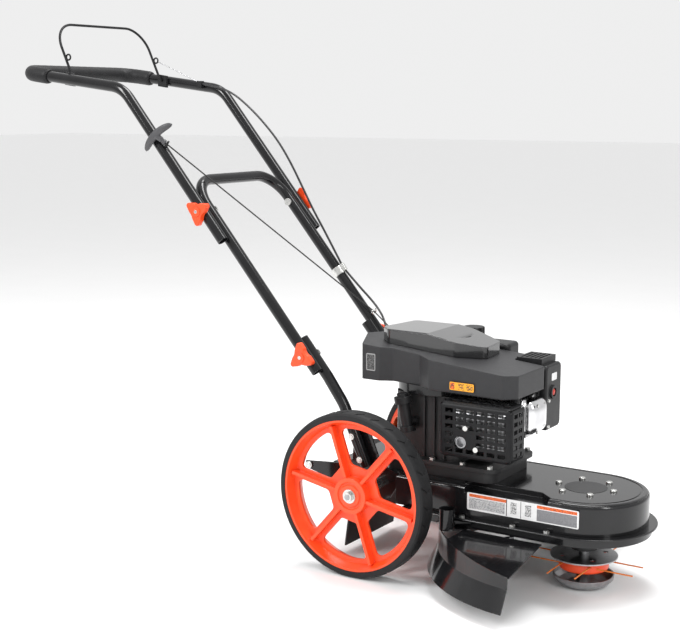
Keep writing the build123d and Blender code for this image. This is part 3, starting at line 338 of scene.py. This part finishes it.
def add_foam_grip():
    """Moulded foam sleeve with rounded ends and a faint ripple along it."""
    line = grip_line(*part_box("foam_grip"))
    last = len(line) - 1
    form = bmesh.new()
    rings = []
    for index, here in enumerate(line):
        ahead = (line[min(index + 1, last)] - line[max(index - 1, 0)]).normalized()
        side = ahead.cross(Vector((0, 0, 1))).normalized()
        up = side.cross(ahead)
        swell = {0: 0.80, 1: 0.95}.get(min(index, last - index), 1.0 - GRIP_RIPPLE * (index % 2))
        rings.append([form.verts.new(here + (side * cos(a) + up * sin(a)) * GRIP_RADIUS * swell)
                      for a in ring_angles(GRIP_SIDES)])
    bridge(form, rings)
    piece = make_piece("grip_sleeve", form, MATS["foam"], smooth_sides=True)
    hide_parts("foam_grip")
    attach(piece, "upper")


add_foam_grip()


# ---- printed labels -----------------------------------------------------------
def band(tree, value, low, high):
    """One where the value lies between low and high, zero elsewhere."""
    over = tree.nodes.new("ShaderNodeMath")
    over.operation = "GREATER_THAN"
    over.inputs[1].default_value = low
    tree.links.new(value, over.inputs[0])
    under = tree.nodes.new("ShaderNodeMath")
    under.operation = "LESS_THAN"
    under.inputs[1].default_value = high
    tree.links.new(value, under.inputs[0])
    both = tree.nodes.new("ShaderNodeMath")
    both.operation = "MULTIPLY"
    tree.links.new(over.outputs[0], both.inputs[0])
    tree.links.new(under.outputs[0], both.inputs[1])
    return both.outputs[0]


def printed(name, ground, panels, low, high):
    """Label print: rectangles of paint speckled with ink, in shares of the label's size."""
    mat = material(name, ground, 0.94, (0.22, 0.32), bump=0.02, edge=0.0001)
    tree = mat.node_tree
    shader = tree.nodes["Principled BSDF"]
    colour = shader.inputs["Base Color"].links[0].from_socket
    coords = tree.nodes.new("ShaderNodeTexCoord")
    split = tree.nodes.new("ShaderNodeSeparateXYZ")
    tree.links.new(coords.outputs["Object"], split.inputs[0])
    speckle = tree.nodes.new("ShaderNodeTexNoise")
    speckle.inputs["Scale"].default_value = 520
    tree.links.new(coords.outputs["Object"], speckle.inputs["Vector"])
    wide = high.x - low.x
    tall = high.z - low.z
    for x0, x1, z0, z1, paint, ink in panels:
        across = band(tree, split.outputs["X"], low.x + wide * x0, low.x + wide * x1)
        rise = band(tree, split.outputs["Z"], low.z + tall * z0, low.z + tall * z1)
        area = tree.nodes.new("ShaderNodeMath")
        area.operation = "MULTIPLY"
        tree.links.new(across, area.inputs[0])
        tree.links.new(rise, area.inputs[1])
        fill = tree.nodes.new("ShaderNodeMix")
        fill.data_type = "RGBA"
        fill.inputs["A"].default_value = (*paint, 1)
        fill.inputs["B"].default_value = (*ink, 1)
        tree.links.new(band(tree, speckle.outputs["Fac"], 0.52, 2), fill.inputs["Factor"])
        mix = tree.nodes.new("ShaderNodeMix")
        mix.data_type = "RGBA"
        tree.links.new(area.outputs[0], mix.inputs["Factor"])
        tree.links.new(colour, mix.inputs["A"])
        tree.links.new(fill.outputs["Result"], mix.inputs["B"])
        colour = mix.outputs["Result"]
    tree.links.new(colour, shader.inputs["Base Color"])
    return mat


LABEL_THICKNESS = 0.0005
LABEL_CORNER = 0.15             # corner radius, as a share of the height


def add_label(name, low, high, ground, panels, across=False):
    """A thin printed sticker with rounded corners, on a wall that faces right or forward."""
    first, last = at(*low), at(*high)
    corner = min(last.z - first.z, 0.02) * LABEL_CORNER
    flat0, flat1 = (first.y, last.y) if across else (first.x, last.x)
    outline = []
    for u, z, start in ((flat1 - corner, last.z - corner, 0),
                        (flat0 + corner, last.z - corner, 90),
                        (flat0 + corner, first.z + corner, 180),
                        (flat1 - corner, first.z + corner, 270)):
        for step in range(5):
            turn = radians(start + step * 22.5)
            outline.append((u + corner * cos(turn), z + corner * sin(turn)))
    form = bmesh.new()
    rings = []
    for depth in (0, LABEL_THICKNESS):
        if across:
            spots = [(first.x + depth, u, z) for u, z in outline]
        else:
            spots = [(u, first.y - depth, z) for u, z in outline]
        rings.append([form.verts.new(spot) for spot in spots])
    bridge(form, rings)
    finish = printed(name + "_print", ground, panels, first, last)
    piece = make_piece(name, form, finish)
    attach(piece, "chassis")


WHITE = (0.72, 0.72, 0.72)
INK = (0.16, 0.16, 0.17)
WARN = (0.8, 0.13, 0.01)
WARN_INK = (0.3, 0.05, 0.01)
YELLOW = (0.85, 0.36, 0.01)
DARK = (0.02, 0.02, 0.02)
BLANK = (0.5, 0.5, 0.5)
FRAME = (0.6, 0.6, 0.6)
add_label("deck_label", (222, -130.1, 160), (470, -130.1, 197), WHITE,
          [(0.02, 0.365, 0.76, 0.94, WARN, WARN_INK),
           (0.02, 0.35, 0.10, 0.72, BLANK, INK),
           (0.36, 0.368, 0.02, 0.98, DARK, DARK),
           (0.49, 0.495, 0.02, 0.98, DARK, DARK),
           (0.40, 0.455, 0.2, 0.85, FRAME, DARK),
           (0.53, 0.585, 0.2, 0.85, FRAME, DARK),
           (0.635, 0.985, 0.76, 0.94, WARN, WARN_INK),
           (0.635, 0.985, 0.06, 0.72, (0.2, 0.2, 0.21), INK)])
add_label("shroud_label", (176, -127.6, 408), (232, -127.6, 425), YELLOW,
          [(0.03, 0.2, 0.1, 0.9, WARN, DARK),
           (0.35, 0.6, 0.12, 0.88, YELLOW, DARK),
           (0.7, 0.95, 0.12, 0.88, YELLOW, DARK)])
add_label("shroud_label_rear", (-45, -98.2, 420), (-22, -98.2, 458), (0.3, 0.3, 0.3),
          [(0.08, 0.92, 0.06, 0.94, DARK, (0.12, 0.12, 0.12))])
add_label("filter_label", (318.1, 66, 408), (318.1, 92, 424), WHITE,
          [(0.0, 1.0, 0.25, 0.75, FRAME, INK)], across=True)


BADGE_STEPS = ((0.044, 0.0), (0.044, 0.0003), (0.043, 0.0006), (0.036, 0.0006))
ROUND_SIDES = 64


def add_cover_badge():
    """Dark disc between the six screws of the belt cover."""
    centre = at(430, 0, 208.1)
    form = bmesh.new()
    rings = []
    for radius, rise in BADGE_STEPS:
        rings.append([form.verts.new(centre + Vector((radius * cos(a), radius * sin(a), rise)))
                      for a in ring_angles(ROUND_SIDES)])
    bridge(form, rings)
    finish = material("badge_print", (0.012, 0.012, 0.013), 0.8, (0.4, 0.5), bump=0.1, edge=0.0001)
    piece = make_piece("cover_badge", form, finish)
    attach(piece, "chassis")


add_cover_badge()


# ---- rope between the eyelet and the pull handle ------------------------------
ROPE_STEPS = 24


def add_rope_end():
    """The short rope that runs out when the handle is pulled."""
    first = at(*ROPE_HOOK)
    last = at(*(Vector(ROPE_HOOK) + ROPE_RUN * 4.5))
    ahead = (last - first).normalized()
    side = ahead.orthogonal().normalized()
    up = ahead.cross(side)
    form = bmesh.new()
    rings = []
    for index in range(ROPE_STEPS + 1):
        here = first.lerp(last, index / ROPE_STEPS)
        rings.append([form.verts.new(here + (side * cos(a) + up * sin(a)) * ROPE_RADIUS * MM)
                      for a in ring_angles(10)])
    bridge(form, rings, capped=False)
    piece = make_piece("rope_end", form, MATS["rope"], outward=False)
    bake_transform(piece)


add_rope_end()


# ---- valve cover --------------------------------------------------------------
DOME_SQUARENESS = 0.42          # 1 is an ellipse, 0 a rectangle
DOME_STEPS = ((0.0, 0.0), (0.06, 0.0), (0.10, 0.0), (0.11, 0.007), (0.35, 0.008),
              (0.62, 0.010), (0.80, 0.014), (0.91, 0.019), (0.97, 0.025), (1.0, 0.033))


def squared(value):
    """A cosine or sine pushed outwards, so that a circle becomes a soft rectangle."""
    return abs(value) ** DOME_SQUARENESS * (1 if value > 0 else -1)


def add_valve_dome():
    """Pressed bright cover: a flange, then a domed face with soft corners."""
    low, high = (Vector(corner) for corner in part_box("valve_cover"))
    centre = (low + high) / 2
    half_y = (high.y - low.y) / 2
    half_z = (high.z - low.z) / 2
    form = bmesh.new()
    rings = []
    for share, inset in DOME_STEPS:
        x = low.x + (high.x - low.x) * share
        rings.append([form.verts.new((x, centre.y + (half_y - inset) * squared(cos(a)),
                                      centre.z + (half_z - inset) * squared(sin(a))))
                      for a in (angle + pi / ROUND_SIDES for angle in ring_angles(ROUND_SIDES))])
    bridge(form, rings)
    piece = make_piece("valve_dome", form, MATS["chrome"], smooth_sides=True)
    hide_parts("valve_cover")
    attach(piece, "chassis")


add_valve_dome()


# ---- starter grip -------------------------------------------------------------
BOW_HALF = 14                   # rings each side of the bow's middle
BOW_LINE = Vector((0.784, 0, 0.621))
BOW_REACH = 0.0495
BOW_BEND = 0.011                # how far the ends come back towards the rope
BOW_RADIUS = 0.0088
BOW_THINNING = 0.22
BOW_FLATNESS = 0.8
BOW_TIP = 0.0008
STEM_LENGTH = 0.029
PULL_SIDES = 20
STEM_STEPS = ((0.0, 0.0045), (0.0005, 0.006), (0.005, 0.0064), (0.006, 0.0052), (0.010, 0.0052),
              (0.011, 0.0064), (0.016, 0.0064), (0.022, 0.0072), (STEM_LENGTH, 0.0085))


def bow_rings(form, centre):
    """The grip's bar: thinner and bent towards the rope at its ends."""
    places = []
    for index in range(2 * BOW_HALF + 1):
        share = index / BOW_HALF - 1
        taper = sqrt(max(0.0, 1 - abs(share) ** 6))
        radius = max(BOW_TIP, BOW_RADIUS * (1 - BOW_THINNING * share * share) * taper)
        here = centre + BOW_LINE * BOW_REACH * share - ROPE_RUN * BOW_BEND * share * share
        places.append((here, radius))
    last = len(places) - 1
    rings = []
    for index, (here, radius) in enumerate(places):
        ahead = (places[min(index + 1, last)][0] - places[max(index - 1, 0)][0]).normalized()
        side = ahead.cross(ROPE_RUN).normalized()
        up = side.cross(ahead).normalized()
        rings.append([form.verts.new(here + (side * cos(a) * BOW_FLATNESS + up * sin(a)) * radius)
                      for a in ring_angles(PULL_SIDES)])
    return rings


def add_pull_grip():
    """Bowed starter grip whose ends curve towards the rope, on a ribbed stem."""
    rest = at(*(Vector(ROPE_HOOK) + ROPE_RUN * 4))
    form = bmesh.new()
    bridge(form, bow_rings(form, rest + ROPE_RUN * STEM_LENGTH))
    side = BOW_LINE.normalized()
    up = side.cross(ROPE_RUN).normalized()
    bridge(form, [[form.verts.new(rest + ROPE_RUN * rise + (side * cos(a) + up * sin(a)) * radius)
                   for a in ring_angles(PULL_SIDES)] for rise, radius in STEM_STEPS])
    piece = make_piece("pull_grip", form, MATS["grey_plastic"], smooth_sides=True)
    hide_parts("pull_handle")
    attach(piece, "pull")


add_pull_grip()


# ---- studio -------------------------------------------------------------------
def add_studio():
    """Pale floor, soft key, fill and top lights."""
    bpy.ops.mesh.primitive_plane_add(size=60, location=(0, 0, 0))
    floor = bpy.context.object
    floor.name = "floor"
    floor.data.materials.append(material("floor_paint", (0.93, 0.93, 0.93), 0.99, (0.6, 0.7),
                                         bump=0.01, scale=4))
    scene = bpy.context.scene
    scene.view_settings.view_transform = "Standard"
    world = bpy.data.worlds.new("studio")
    scene.world = world
    world.use_nodes = True
    world.node_tree.nodes["Background"].inputs["Color"].default_value = (1, 1, 1, 1)
    world.node_tree.nodes["Background"].inputs["Strength"].default_value = 0.86
    for name, place, size, power in (("key", (-1.6, -3.0, 3.0), (0.5, 2.4), 95),
                                     ("fill", (3.2, -1.4, 2.0), (0.6, 1.8), 35),
                                     ("top", (0.3, 0.6, 3.2), (2.4, 0.8), 75)):
        data = bpy.data.lights.new(name, "AREA")
        data.shape = "RECTANGLE"
        data.size, data.size_y = size
        data.energy = power
        lamp = bpy.data.objects.new(name, data)
        lamp.location = place
        aim = Vector((0, 0, 0.45)) - Vector(place)
        lamp.rotation_euler = aim.to_track_quat("-Z", "Y").to_euler()
        bpy.context.collection.objects.link(lamp)


add_studio()
